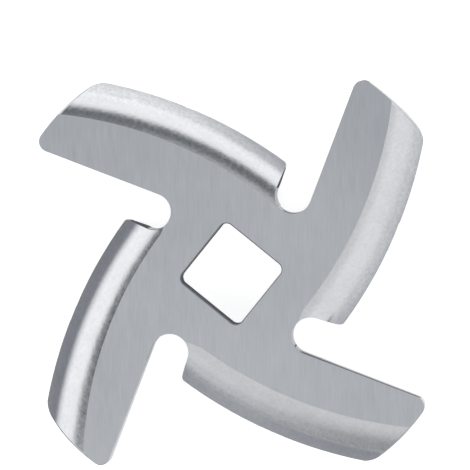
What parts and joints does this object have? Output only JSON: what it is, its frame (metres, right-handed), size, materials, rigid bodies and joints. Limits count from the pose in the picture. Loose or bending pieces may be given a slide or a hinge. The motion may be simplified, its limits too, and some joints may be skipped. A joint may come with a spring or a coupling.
{
  "type": "meat grinder knife",
  "caption": "Pinwheel-shaped meat grinder knife pressed from steel sheet, with a ground flat cutting face, a bent-down wing behind each cutting edge and a square drive hole.",
  "frame": {"origin": "on the square hole's axis, level with the wings' lowest edges that the knife stands on", "axes": "+Z along the hole's axis and out of the ground cutting face; X and Y square to the flats of the hole"},
  "size_m": [0.054, 0.054, 0.0053],
  "materials": {
    "steel": "fine-ground matt cutting face, tumbled satin to bright on the wings and edges"
  },
  "bodies": {
    "root": {"knife": "steel"}
  },
  "joints": []
}
